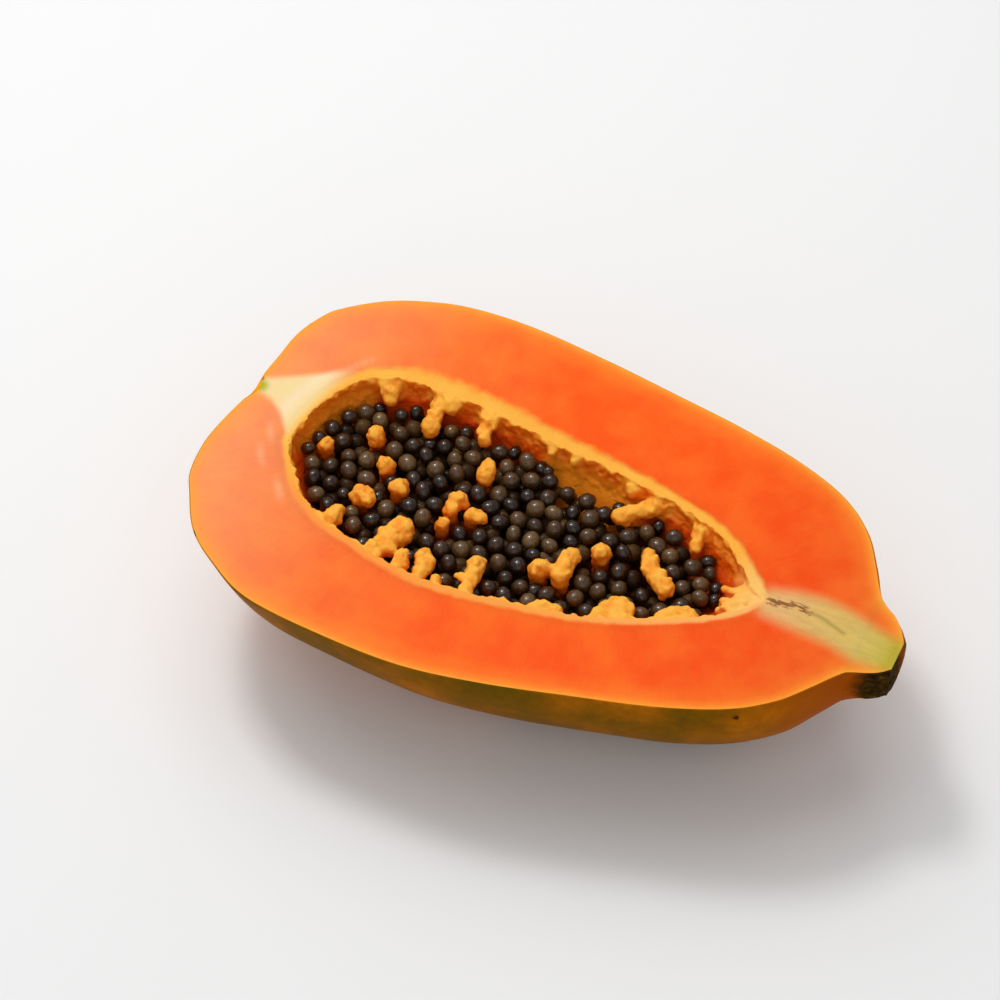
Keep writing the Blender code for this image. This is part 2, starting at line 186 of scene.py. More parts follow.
def from_line(places, line):
    """Every place's distance to a line of points, and how far along the line its nearest point lies.

    A place is dropped onto each stretch of the line, with its foot held between the stretch's ends.
    """
    nearest = np.full(len(places), np.inf)
    along = np.zeros(len(places))
    gone = 0.0
    for start, stretch in zip(line[:-1], np.diff(line, axis=0)):
        length = max(np.linalg.norm(stretch), 1e-9)
        foot = np.clip((places - start) @ stretch / length**2, 0, 1)
        away = np.linalg.norm(places - start - foot[:, None] * stretch, axis=1)
        closer = away < nearest
        nearest[closer] = away[closer]
        along[closer] = gone + foot[closer] * length
        gone += length
    return nearest, along


def grid_faces(rows, columns, first=0, closed=False):
    """Quads of a grid whose points are numbered row by row; closed joins the last column to the first."""
    i, j = np.meshgrid(np.arange(rows - 1), np.arange(columns if closed else columns - 1), indexing="ij")
    k = (j + 1) % columns
    corners = [i * columns + j, i * columns + k, (i + 1) * columns + k, (i + 1) * columns + j]
    return np.stack(corners, axis=-1).reshape(-1, 4) + first


def gathered(grids, surfaces=None, closed=False):
    """Points and faces of a list of grids, and for every face the number of its grid's surface."""
    counts = np.cumsum([0] + [grid.shape[0] * grid.shape[1] for grid in grids])
    faces = [grid_faces(*grid.shape[:2], first, closed) for grid, first in zip(grids, counts)]
    numbers = np.repeat(surfaces or [0] * len(grids), [len(quads) for quads in faces])
    return np.vstack([grid.reshape(-1, 3) for grid in grids]), np.vstack(faces), numbers


def new_object(name, data):
    """An object that shows its data in the scene."""
    made = bpy.data.objects.new(name, data)
    bpy.context.scene.collection.objects.link(made)
    return made


def new_piece(name, points, faces, face_surface, surfaces, merge=1e-6):
    """A mesh object from points in mm: doubled points merged, faces turned outwards and shaded smooth."""
    mesh = bpy.data.meshes.new(name)
    mesh.from_pydata((np.asarray(points) / 1000).tolist(), [], [list(face) for face in faces])
    mesh.polygons.foreach_set("material_index", np.asarray(face_surface, np.int32))
    tidy = bmesh.new()
    tidy.from_mesh(mesh)
    bmesh.ops.remove_doubles(tidy, verts=tidy.verts, dist=merge)
    bmesh.ops.dissolve_degenerate(tidy, edges=tidy.edges, dist=1e-8)
    bmesh.ops.recalc_face_normals(tidy, faces=tidy.faces)
    tidy.to_mesh(mesh)
    tidy.free()
    mesh.shade_smooth()
    mesh.set_sharp_from_angle(angle=np.radians(50))
    for surface in surfaces:
        mesh.materials.append(surface)
    return new_object(name, mesh)


def held_by_points(piece, name):
    """What every point of a piece holds under this name: its place in metres, or its normal."""
    found = np.empty(len(piece.data.vertices) * 3, np.float32)
    piece.data.vertices.foreach_get(name, found)
    return found.reshape(-1, 3).astype(float)


def set_values(piece, name, values):
    """Give every point of a piece a number under this name."""
    layer = piece.data.attributes.new(name, "FLOAT", "POINT")
    layer.data.foreach_set("value", np.ascontiguousarray(values, np.float32))


def colour(code):
    """A hex sRGB colour as linear red, green, blue and 1."""
    parts = np.array([int(code[k:k + 2], 16) for k in (1, 3, 5)]) / 255
    linear = np.where(parts <= 0.04045, parts / 12.92, ((parts + 0.055) / 1.055) ** 2.4)
    return (*linear.tolist(), 1.0)


def fill_inputs(tree, node, inputs):
    """Fill a node's inputs by name, or its first ones in a row's order.

    Each takes a value, a hex colour, an output, or the first output of a node.
    """
    for name, value in inputs.items() if isinstance(inputs, dict) else enumerate(inputs):
        if isinstance(value, bpy.types.Node):
            value = value.outputs[0]
        if isinstance(value, bpy.types.NodeSocket):
            tree.links.new(value, node.inputs[name])
        else:
            node.inputs[name].default_value = colour(value) if isinstance(value, str) else value


def add_node(tree, kind, inputs=(), stops=(), **settings):
    """Add a node with its properties, its inputs and the places and colours of its ramp's stops."""
    node = tree.nodes.new("ShaderNode" + kind)
    for name, value in settings.items():
        setattr(node, name, value)
    fill_inputs(tree, node, inputs)
    for spare, (place, shade) in enumerate(stops):
        ramp = node.color_ramp.elements
        stop = ramp[spare] if spare < 2 else ramp.new(place)
        stop.position = place
        stop.color = colour(shade) if isinstance(shade, str) else shade
    return node


def new_material(name):
    """A material with its node tree and its Principled shader."""
    made = bpy.data.materials.new(name)
    made.use_nodes = True
    return made, made.node_tree, made.node_tree.nodes["Principled BSDF"]


def share_along(lines):
    """How far along two lines of points each pair of points lies, as a share of their lengths together."""
    steps = np.linalg.norm(np.diff(lines, axis=1), axis=2).sum(axis=0)
    return np.concatenate([[0], np.cumsum(steps)]) / steps.sum()


def both_sides(points):
    """A row of far and near edge points as one loop, and the normals to its left, side by side.

    A normal is the direction between the neighbours on both sides, turned by a quarter turn.
    """
    far, near = points
    ends_meet = np.allclose(far[-1], near[-1])
    back_again = near[::-1][1 if ends_meet else 0:-1]
    loop = np.vstack([far, back_again])
    ahead = unit(np.roll(loop, -1, axis=0) - np.roll(loop, 1, axis=0))
    normals = np.column_stack([-ahead[:, 1], ahead[:, 0]])
    u = np.arange(len(far))
    return loop, np.stack([normals[u], normals[(len(loop) - u) % len(loop)]])


def arcs_below(edges, rise, share, more=0):
    """Arcs of circles from far to near edge points, whose middles stand above the cut face by the rise.

    A point is the middle plus the radius, and so many mm more, times the cosine of its turn across and minus
    its sine up, with its turn at its share of the way between the edges. The turns are given back as well.
    """
    middle, half = edges.mean(axis=0), (edges[0] - edges[1]) / 2
    width = np.maximum(np.linalg.norm(half, axis=1), 1e-9)
    start = np.arctan2(rise, width)[:, None]
    turn = start + (np.pi - 2 * start) * share
    radius = np.hypot(width, rise)[:, None] + more
    flat = middle[:, None] + unit(half)[:, None] * (radius * np.cos(turn))[:, :, None]
    return np.dstack([flat, CUT + rise[:, None] - radius * np.sin(turn)]), turn


# Rings of the outline, each with a place on the rim: both lie at the same share of their lines' length
outline = curve_through(OUTLINE, 10)
edges = np.stack([outline[:, :2], outline[:, 2:4]])
rise = outline[:, 4]
rim = curve_through(RIM, 10)
rim_edges = np.stack([rim[:, [0, 1]], rim[:, [0, 2]]])
rim_points = np.stack([read_at(share_along(edges), share_along(rim_edges), line) for line in rim_edges])
edge_loop, edge_normals = both_sides(edges)
rim_loop, rim_normals = both_sides(rim_points)
rim_line = np.vstack([rim_loop, rim_loop[:1]])

# The back: its arcs' points lie closest together at the cut face, where the edge is rounded
width = np.linalg.norm(edges[0] - edges[1], axis=1) / 2
arc = np.maximum(np.hypot(width, rise) * (np.pi - 2 * np.arctan2(rise, width)), 1e-6)
close_by = np.array([0.0, 0.06, 0.18, 0.36, 0.7, 1.4]) * (np.minimum(1, arc / 30) / arc)[:, None]
far_on = close_by[:, -1:] + np.linspace(0, 1, 103)[1:-1] * (1 - 2 * close_by[:, -1:])
back = arcs_below(edges, rise, np.hstack([close_by, far_on, 1 - close_by[:, ::-1]]))[0]
sides = back.shape[1]

# The knife's edge: the last EDGE of the skin rolls inwards over a quarter of a circle
roll = np.minimum(EDGE, 0.3 * width) * step_up((FRUIT_END - outline[:, 0]) / 4)
depth = CUT - back[:, :, 2]
over = np.clip(roll[:, None] - depth, 0, None)
shift = roll[:, None] - np.sqrt(np.clip(roll[:, None] ** 2 - over**2, 0, None))
on_far_side = np.arange(sides) < sides / 2
inward = -np.where(on_far_side[None, :, None], edge_normals[0][:, None], edge_normals[1][:, None])
back[:, :, :2] += shift[:, :, None] * inward
edge_top = edges - roll[None, :, None] * edge_normals

# Shallow dents and swellings of a grown fruit, none at the cut edge or where it rests
swelling = 0.5 * soft_noise(back, 34.0, 3) + 0.2 * soft_noise(back, 13.0, 4)
swelling *= step_up(depth / 9) * step_up(back[:, :, 2] / 8)
cut_middle = np.column_stack([edges.mean(axis=0), np.full(len(outline), CUT)])
back += swelling[:, :, None] * unit(back - cut_middle[:, None])
back[:, :, 2] = np.maximum(back[:, :, 2], 0)

# The cut face on both sides: lines from the edge to a little inside the rim, where it dips under the pulp
line_share = np.concatenate([[0, 0.006, 0.018, 0.04, 0.07], np.linspace(0.1, 0.94, 30), [0.97, 1.0]])
across_face = rim_points + BURIED * rim_normals - edge_top
face = edge_top[:, :, None] + line_share[:, None] * across_face[:, :, None]
# The core's triangle between the last lines of both sides
spread = np.linspace(0, 1, sides)[:, None, None]
core = (1 - spread) * face[0, -1] + spread * face[1, -1]


def dipped(plan):
    """Points of the cut plane with heights: level, then down by up to 0.35 mm with the cube of how near."""
    gap = from_line(plan.reshape(-1, 2), rim_line)[0].reshape(plan.shape[:-1])
    return np.concatenate([plan, (CUT - 0.35 * np.clip((4.6 - gap) / 3.2, 0, 1) ** 3)[..., None]], axis=-1)


face, core = dipped(face), dipped(core)
end_under_stump = np.linspace(back[-1], core[:, 0], 5)

# The cavity's floor under pulp and seeds: arcs between the two sides of the rim. They run a little outside
# the wall at the top, where the pulp covers them, and come out from under it further down.
floor_rise = CAVITY_RISE * np.maximum(np.linalg.norm(rim_points[0] - rim_points[1], axis=1) / 2, 1e-9)
floor_share = np.linspace(0, 1, 33)
wall = arcs_below(rim_points, floor_rise, floor_share)[0]
sunk = step_up((CUT - wall[:, :, 2] - 5) / 5)
floor = arcs_below(rim_points, floor_rise, floor_share, BURIED * (1 - sunk) - 0.3 * sunk)[0]
floor[:, [0, -1]] = np.swapaxes(face[:, :, -1], 0, 1)

# The line that the skin's colours start from: round the fruit's cut edge and the stump's
stump_rows = curve_through(STUMP, 8)
stump_edges = np.stack([stump_rows[:, :2], stump_rows[:, 2:4]])
far_stump, near_stump = stump_edges[:, stump_rows[:, 0] > FRUIT_END + 0.1]
edge_line = np.vstack([edges[0], far_stump, near_stump[::-1], edges[1, ::-1]])


def between_edges(table, x, y, blur):
    """How far y lies inside a table's upper and lower edge at x, as 0 to 1 over the blur's width."""
    top, low = edges_at(table, x)
    return step_up(np.minimum(y - low, top - y) / blur + 0.5)


def set_zones(piece):
    """Give a piece the numbers that its colours follow: mm, or from 0 to 1 how much of a zone shows."""
    x, y, z = 1000 * held_by_points(piece, "co").T
    plan, depth = np.column_stack([x, y]), CUT - z
    rim_gap, along = from_line(plan, rim_line)
    far_edge, near_edge = edges_at(rim, x)
    rim_gap[(y < far_edge) & (y > near_edge) & (x > RIM[0][0]) & (x < RIM[-1][0])] *= -1
    on_far_side = y > (far_edge + near_edge) / 2

    def beside(line, plain, fade):
        """1 up to so many mm from a line, and 0 from the fade's width on."""
        return 1 - step_up((from_line(plan, line)[0] - plain) / fade)

    # Painted light: the pulp is painted a lighter orange in the bare hollow, from about 3 mm down, and on the
    # wall at the blossom end
    bare = beside(HOLLOW, 5, 6) * step_up((depth - 3) / 3)
    lit_blossom_wall = beside(LIT_BLOSSOM_WALL, 3, 4) * step_up((depth - 0.5) / 2)
    streaks = []
    for line in STREAKS:
        gone = from_line(plan, line)[1]
        streaks.append(0.5 * beside(line, 0, 2.2) * np.sin(np.pi * gone / gone.max()))
    zones = {
        "from_skin": from_line(plan, edge_line)[0],
        "from_rim": rim_gap,
        "lining": rim_gap / np.where(on_far_side, *edges_at(LINING, x)),
        "along": along,
        "cream": between_edges(CREAM, x, y, 4.0) * (1 - step_up((x + 92) / 10)),
        "core": between_edges(CORE, x, y, 7.0) * step_up((x - 66) / 6),
        "dashes": beside(DASHES, 0, 4.0),
        "vein": beside(VEIN, 0, 1.3),
        "dot": beside(DOT, 0.8, 3.0),
        "scar": beside(SCAR, 0.5, 1.2),
        "hollow": np.maximum(bare, lit_blossom_wall),
        "streak": np.max(streaks, axis=0),
        "near_band": (1 - on_far_side) * step_up((x + 88) / 10) * step_up(rim_gap + 0.5),
    }
    for name, values in zones.items():
        set_values(piece, name, values)


flesh, tree, shader = new_material("Ripe papaya flesh, knife-cut")
# Wet sugary flesh, cut smooth: light soaks in and comes back orange, so shadows are warm and shine is soft.
here = add_node(tree, "TexCoord").outputs["Object"]
axes = add_node(tree, "SeparateXYZ", {"Vector": here}).outputs
number = {
    name: add_node(tree, "Attribute", attribute_name=name).outputs["Fac"]
    for name in ("from_skin", "from_rim", "lining", "along", "cream", "core", "dashes", "vein", "dot",
                 "scar", "hollow", "streak", "near_band", "lump", "crumb")
}
along_fruit = add_node(tree, "MapRange", (axes["X"], -0.115, 0.105))
ripe = add_node(tree, "ValToRGB", {"Fac": along_fruit}, [
    (0.00, "#f39a66"), (0.12, "#f68b50"), (0.27, "#f87026"), (0.45, "#fc5c06"), (0.70, "#fc5602"),
    (0.88, "#f24e00"), (1.00, "#ee621a"),
])
# Cloudy patches about 14 mm across, pinker and yellower
cloud = add_node(tree, "TexNoise", {"Vector": here, "Scale": 70.0, "Detail": 4.0, "Roughness": 0.55})
patchy = add_node(tree, "ValToRGB", {"Fac": cloud}, [(0.36, "#e83408"), (0.64, "#ff9a3c")])
cloudy = add_node(tree, "MixRGB", (0.17, ripe, patchy))
# Fibres about 0.8 mm wide that run from the skin to the cavity
fibre_place = add_node(tree, "CombineXYZ", {"X": number["along"], "Y": number["from_rim"]})
fibre_scale = add_node(tree, "VectorMath", (fibre_place, (1.25, 0.11, 1.0)), operation="MULTIPLY")
fibres = add_node(tree, "TexNoise", {"Vector": fibre_scale, "Scale": 1.0, "Detail": 3.0})
fibre_tone = add_node(tree, "MapRange", (fibres, 0.3, 0.7, 0.975, 1.02))
surface = add_node(tree, "MixRGB", (1.0, cloudy, fibre_tone), blend_type="MULTIPLY")
# How much of the yellow-orange line shows that lies under the skin, about 1 mm wide and fading over 3 mm
wobble = add_node(tree, "TexNoise", {"Vector": here, "Scale": 260.0, "Detail": 3.0})
skin_gap = add_node(tree, "Math", (wobble, 0.9, number["from_skin"]), operation="MULTIPLY_ADD")
skin_share = add_node(tree, "Math", (skin_gap, 0.1), operation="MULTIPLY")
under_skin = add_node(tree, "ValToRGB", {"Fac": skin_share}, [
    (place, (much, much, much, 1)) for place, much in ((0.11, 0.9), (0.24, 0.5), (0.42, 0.22), (0.95, 0.0))
])
# Pale streaks beside the wedge, broken up by the fibres
pale_streak_share = add_node(tree, "Math", (fibres, number["streak"]), operation="MULTIPLY")
# The lining's edge in the cut face, uneven by about a third of its width
lining_place = add_node(tree, "Math", (wobble, 0.7, number["lining"]), operation="MULTIPLY_ADD")
lined = add_node(tree, "MapRange", (lining_place, 0.95, 1.75, 1.0, 0.0), interpolation_type="SMOOTHSTEP")

# The pulp is the lining's yellow-orange, as on the cut face. Below it, painted light keeps what faces up that
# colour, the wall's sides are painted a deeper orange glow as painted shade, and painted shade turns them
# red-brown and dark further down
cut_depth = add_node(tree, "MapRange", (axes["Z"], CUT / 1000, CUT / 1000 - 0.016))
pulp_depth = add_node(tree, "Math", (wobble, 0.14, cut_depth), operation="MULTIPLY_ADD")
facing = add_node(tree, "SeparateXYZ", {"Vector": add_node(tree, "NewGeometry").outputs["Normal"]})
lit_facing_up = add_node(tree, "MapRange", (facing.outputs["Z"], 0.1, 0.8), interpolation_type="SMOOTHSTEP")
shaded_wall_side = add_node(tree, "ValToRGB", {"Fac": pulp_depth}, [
    (0.04, "#fb9020"), (0.14, "#f6740c"), (0.30, "#f05e04"), (0.52, "#e84a02"), (0.75, "#c83a02"),
    (1.0, "#661c02"),
])
deep_shade_share = add_node(tree, "MapRange", (pulp_depth, 0.2, 0.5))
# The lumps likewise: their tops lighter as painted light, their sides and deeper parts darker as painted
# shade
lit_lump_top = add_node(tree, "ValToRGB", {"Fac": pulp_depth}, [
    (0.04, "#ffb646"), (0.28, "#ffae3e"), (0.45, "#fb962e"), (0.64, "#dc6810"), (1.0, "#6a2604"),
])
shaded_lump_side = add_node(tree, "MixRGB", (1.0, lit_lump_top, "#fcd08c"), blend_type="MULTIPLY")
lump_tone = add_node(tree, "MixRGB", (lit_facing_up, shaded_lump_side, lit_lump_top))
# Painted shade in the crumbs: the hollows between the grains, and finer pits about 0.7 mm across, are painted
# a deeper orange
grain = add_node(tree, "TexNoise", {"Vector": here, "Scale": 1400.0, "Detail": 4.0, "Roughness": 0.6})
crumb_place = add_node(tree, "Math", (grain, 2.4, number["crumb"]), operation="MULTIPLY_ADD")
pit_shade = add_node(tree, "MapRange", (crumb_place, 1.2, 0.1, 0.0, 0.6))
# The tuft at the stem end is paler, and so is the near side's lip towards it
tuft_share = add_node(tree, "MapRange", (axes["X"], 0.056, 0.066, 0.0, 0.55))
band_tone = add_node(tree, "ValToRGB", {"Fac": along_fruit}, [
    (0.3, "#fb983a"), (0.6, "#fba248"), (0.82, "#fab264"),
])
# Layers over the wall: painted light on what faces up, painted shade deeper down, the lighter orange of the
# hollow zone as painted light, the lumps, painted shade in the pits, the paler tuft and the near lip
pulp_tone = shaded_wall_side
for share, shade in (
    (lit_facing_up, "#ffb040"), (deep_shade_share, shaded_wall_side), (number["hollow"], "#ff8c1c"),
    (number["lump"], lump_tone), (pit_shade, "#f07c14"), (tuft_share, "#fcd080"),
    (number["near_band"], band_tone),
):
    pulp_tone = add_node(tree, "MixRGB", (share, pulp_tone, shade))

# The pale wedge behind the blossom scar
outside = add_node(tree, "MapRange", (number["from_rim"], -0.2, 0.8))
cream_share = add_node(tree, "Math", (number["cream"], outside), operation="MULTIPLY")
cream_place = add_node(tree, "Math", (number["from_rim"], 0.09), operation="MULTIPLY")
cream_tone = add_node(tree, "ValToRGB", {"Fac": cream_place}, [
    (0.05, "#f9c064"), (0.3, "#f6d492"), (0.7, "#f3dab0"), (1.0, "#efd498"),
])
# The core that the stalk's strands run through, with dark dashes and an olive strand
core_share = add_node(tree, "Math", (number["core"], outside), operation="MULTIPLY")
core_place = add_node(tree, "MapRange", (axes["X"], 0.064, 0.113))
core_base = add_node(tree, "ValToRGB", {"Fac": core_place}, [
    (0.0, "#f2b86a"), (0.2, "#e6b274"), (0.45, "#dab268"), (0.78, "#d4b662"), (0.94, "#c6b24c"),
    (1.0, "#b8a834"),
])
strand_scale = add_node(tree, "VectorMath", (here, (200.0, 620.0, 620.0)), operation="MULTIPLY")
strands = add_node(tree, "TexNoise", {"Vector": strand_scale, "Scale": 1.0, "Detail": 3.0, "Roughness": 0.6})
strand_tone = add_node(tree, "MapRange", (strands, 0.3, 0.7, 0.9, 1.06))
core_tone = add_node(tree, "MixRGB", (1.0, core_base, strand_tone), blend_type="MULTIPLY")
fleck_scale = add_node(tree, "VectorMath", (here, (420.0, 1100.0, 1100.0)), operation="MULTIPLY")
flecks = add_node(tree, "TexNoise", {"Vector": fleck_scale, "Scale": 1.0, "Detail": 1.0})
dash_place = add_node(tree, "Math", (flecks, number["dashes"]), operation="MULTIPLY")
dash = add_node(tree, "MapRange", (dash_place, 0.28, 0.46, 0.0, 0.85), interpolation_type="SMOOTHSTEP")
vein = add_node(tree, "Math", (number["vein"], 0.55), operation="MULTIPLY")
for share, shade in ((dash, "#7a4412"), (vein, "#94842c")):
    core_tone = add_node(tree, "MixRGB", (share, core_tone, shade))

for share, shade in (
    (under_skin, "#fca030"), (pale_streak_share, "#ffc8a0"), (lined, pulp_tone), (cream_share, cream_tone),
    (core_share, core_tone), (number["dot"], "#b2b022"), (number["scar"], "#3a280c"),
):
    surface = add_node(tree, "MixRGB", (share, surface, shade))
# A fine grain all over, three times as deep in the pulp
grain_depth = add_node(tree, "MapRange", (lined, 0.0, 1.0, 1.0, 3.0))
grain_height = add_node(tree, "Math", (grain, grain_depth), operation="MULTIPLY")
relief = add_node(tree, "Bump", {"Height": grain_height, "Strength": 0.3, "Distance": 0.0003})
relief = add_node(tree, "Bump", {"Height": fibres, "Strength": 0.08, "Distance": 0.0005, "Normal": relief})
wet = add_node(tree, "MapRange", (cloud, 0.3, 0.7, 0.34, 0.5))
fill_inputs(tree, shader, {
    "Base Color": surface, "Normal": relief, "Roughness": wet, "Specular IOR Level": 0.08,
    "Subsurface Weight": 0.35, "Subsurface Radius": (1.0, 0.32, 0.1), "Subsurface Scale": 0.0045,
})

skin, tree, shader = new_material("Waxy papaya skin, turning to bark on the stalk")
# Golden orange where ripe, olive where green, with the dark freckles of ripe fruit; wax makes it satin.
here = add_node(tree, "TexCoord").outputs["Object"]
axes = add_node(tree, "SeparateXYZ", {"Vector": here}).outputs
broad = add_node(tree, "TexNoise", {"Vector": here, "Scale": 26.0, "Detail": 5.0, "Roughness": 0.6})
# The broad patches are the skin's own olive green; the near side is pushed further towards the ramp's dark
# olive-brown end as painted shade
near_side_shade = add_node(tree, "MapRange", (axes["Y"], -0.07, 0.06, 0.34, -0.1))
blossom_gold = add_node(tree, "MapRange", (axes["X"], -0.09, 0.0, -0.16, 0.0))
side_tint_and_shade = add_node(tree, "Math", (near_side_shade, blossom_gold), operation="ADD")
greenness_and_shade = add_node(tree, "Math", (broad, side_tint_and_shade), operation="ADD")
ripeness_and_shade = add_node(tree, "ValToRGB", {"Fac": greenness_and_shade}, [
    (0.34, "#f09a08"), (0.50, "#dc8604"), (0.66, "#b06402"), (0.84, "#845400"), (1.0, "#684e00"),
])
mottle = add_node(tree, "TexNoise", {"Vector": here, "Scale": 330.0, "Detail": 5.0, "Roughness": 0.65})
mottle_tone = add_node(tree, "MapRange", (mottle, 0.3, 0.7, 0.8, 1.14))
surface = add_node(tree, "MixRGB", (1.0, ripeness_and_shade, mottle_tone), blend_type="MULTIPLY")
# Freckles: at most one to a cell of 11 mm, nearly all of them under 1 mm, their edges frayed
freckles = add_node(tree, "TexVoronoi", {"Vector": here, "Scale": 90.0})
fray = add_node(tree, "Math", (mottle, 0.22, freckles), operation="MULTIPLY_ADD")
size = add_node(tree, "SeparateXYZ", {"Vector": freckles.outputs["Color"]})
reach = add_node(tree, "MapRange", (size.outputs["X"], 0.3, 1.0, 0.08, 0.25))
inside = add_node(tree, "Math", (reach, fray), operation="SUBTRACT")
freckle = add_node(tree, "MapRange", (inside, -0.02, 0.04), interpolation_type="SMOOTHSTEP")
stem_dark = add_node(tree, "MapRange", (axes["X"], 0.078, 0.102), interpolation_type="SMOOTHSTEP")
# Corky dry bark on the stalk, ridged along it; its ragged edge lies further out on the far side
stretched = add_node(tree, "VectorMath", (here, (160.0, 700.0, 700.0)), operation="MULTIPLY")
ridge = add_node(tree, "TexNoise", {"Vector": stretched, "Scale": 1.0, "Detail": 5.0, "Roughness": 0.65})
bark_tone = add_node(tree, "ValToRGB", {"Fac": ridge}, [
    (0.3, "#1a1004"), (0.5, "#35220a"), (0.62, "#4e380c"), (0.75, "#6a5814"),
])
far_reach = add_node(tree, "Math", (axes["Y"], -0.5, axes["X"]), operation="MULTIPLY_ADD")
ragged = add_node(tree, "Math", (ridge, 0.006, far_reach), operation="MULTIPLY_ADD")
barked = add_node(tree, "MapRange", (ragged, 0.1135, 0.1185), interpolation_type="SMOOTHSTEP")
stalk_end = add_node(tree, "MapRange", (axes["X"], 0.1005, 0.1035))
bark_share = add_node(tree, "Math", (barked, stalk_end), operation="MULTIPLY")
for share, shade in ((freckle, "#3c2006"), (stem_dark, "#a44c02"), (bark_share, bark_tone)):
    surface = add_node(tree, "MixRGB", (share, surface, shade))
# Pores and mottles stand out a little, and the bark's ridges more
pores = add_node(tree, "TexNoise", {"Vector": here, "Scale": 900.0, "Detail": 3.0})
bark_height = add_node(tree, "Math", (ridge, bark_share), operation="MULTIPLY")
relief = add_node(tree, "Bump", {"Height": pores, "Strength": 0.12, "Distance": 0.0003})
for high, much in ((mottle, 0.12), (bark_height, 0.6)):
    relief = add_node(tree, "Bump", {"Height": high, "Strength": much, "Distance": 0.0008, "Normal": relief})
waxy = add_node(tree, "MapRange", (mottle, 0.3, 0.7, 0.4, 0.52))
dull = add_node(tree, "Math", (bark_share, 0.3, waxy), operation="MULTIPLY_ADD")
fill_inputs(tree, shader, {
    "Base Color": surface, "Normal": relief, "Roughness": dull, "Specular IOR Level": 0.012,
    "Subsurface Weight": 0.08, "Subsurface Radius": (1.0, 0.5, 0.15), "Subsurface Scale": 0.002,
})

grids = [back, face[0], face[1], core, end_under_stump, floor]
fruit = new_piece("fruit_flesh", *gathered(grids, [1, 0, 0, 0, 1, 0]), [flesh, skin])
set_zones(fruit)
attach(fruit, "root")
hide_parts("fruit_half")


# The pulp that lines the seed cavity. It is soft, yellow-orange and crumbly, grows in knobs and tongues
# between the seeds, and the knife cut its top level. The wall's upper part, the lumps and many small knobs
# are fused into one surface, softened and given a fine relief; its colours go on from the cut face's.

# Lumps that grow from the wall: each a path of x, y, depth under the cut face, radius
RIM_LUMPS = (
    ((-72.4, 34.0, 3.2, 4.0), (-71.6, 29.6, 4.0, 3.6), (-71.0, 27.2, 5.2, 3.0)),
    ((-56.4, 35.0, 3.0, 3.2), (-55.0, 28.2, 4.0, 2.5), (-54.1, 21.2, 5.2, 3.4)),
    ((-50.4, 35.0, 2.6, 2.6), (-50.7, 29.6, 3.0, 2.3)),
    ((-39.4, 34.5, 3.0, 3.1), (-38.0, 27.8, 4.0, 2.7), (-36.6, 23.9, 5.0, 2.5)),
    ((-13.6, 31.5, 2.4, 2.0), (-13.9, 26.8, 2.8, 1.7)),
    ((-5.5, 31.0, 2.4, 2.2), (-5.8, 26.4, 2.8, 1.9)),
    ((13.8, 30.0, 3.0, 4.0), (15.0, 25.0, 3.8, 3.4)),
    ((30.0, 27.5, 3.0, 3.4), (26.0, 23.0, 4.2, 3.2), (20.4, 18.8, 5.2, 2.8), (15.2, 14.4, 5.8, 3.1)),
    ((39.8, 23.5, 3.0, 2.8), (41.0, 16.0, 4.4, 2.5), (41.3, 12.9, 5.2, 2.4)),
    ((69.0, 0.5, 3.0, 2.4), (60.4, 2.2, 4.2, 2.1)),
    ((69.0, -1.5, 3.2, 2.6), (58.6, -4.0, 4.6, 2.3)),
    ((64.0, -11.0, 3.0, 2.4), (61.4, -3.2, 3.4, 1.9)),
    ((-67.2, -33.5, 3.0, 3.8), (-66.0, -26.4, 3.6, 3.3), (-65.6, -20.8, 4.4, 2.5)),
    ((-49.6, -35.0, 4.0, 3.6), (-47.0, -27.0, 5.2, 4.6), (-44.8, -19.2, 5.4, 4.9)),
    ((-38.8, -40.0, 3.0, 3.4), (-38.4, -32.0, 3.4, 3.2)),
    ((-31.8, -41.0, 3.0, 3.0), (-31.5, -32.0, 3.4, 2.6), (-31.3, -27.8, 4.0, 3.2)),
    ((-25.4, -41.0, 2.8, 2.4), (-25.8, -33.0, 3.0, 2.0)),
    ((-15.4, -40.5, 3.0, 3.2), (-16.0, -28.4, 3.8, 2.7), (-17.4, -21.4, 4.6, 3.0)),
    ((-16.0, -29.4, 3.4, 1.9), (-20.6, -28.8, 3.4, 1.4)),
    ((6.6, -33.6, 3.2, 3.4), (12.4, -32.6, 3.2, 3.4)),
    ((24.4, -28.6, 3.4, 3.8), (33.4, -24.0, 3.4, 3.8)),
    ((41.0, -21.4, 3.0, 3.1), (52.4, -15.4, 3.0, 2.8)),
)

# Lumps that stand up from the cavity's floor among the seeds, each its head's path in the same terms
STANDING_LUMPS = (
    ((-81.7, 1.9, 6.6, 2.8),),
    ((-68.7, 12.5, 5.9, 3.0), (-68.1, 10.5, 5.6, 3.1)),
    ((-60.8, 2.5, 5.9, 3.3),),
    ((-52.9, -4.2, 5.6, 3.2),),
    ((-62.5, -11.5, 4.8, 3.6), (-59.9, -12.9, 4.6, 3.4)),
    ((-34.3, -5.1, 5.9, 2.8), (-33.5, -0.3, 5.7, 3.2)),
    ((-34.5, -11.2, 5.9, 2.6),),
    ((-27.7, -4.6, 5.8, 2.3), (-24.3, -4.2, 5.6, 2.5)),
    ((-30.4, 11.7, 6.0, 2.8), (-31.0, 15.5, 5.9, 2.8)),
    ((0.8, -15.9, 4.2, 3.5),),
    ((7.9, -15.1, 4.4, 3.5), (7.9, -6.1, 5.0, 3.3)),
    ((15.6, -1.4, 5.0, 3.4),),
    ((29.3, 3.9, 5.0, 2.6), (33.2, -1.7, 4.7, 3.2), (39.7, -6.3, 4.2, 3.3)),
)

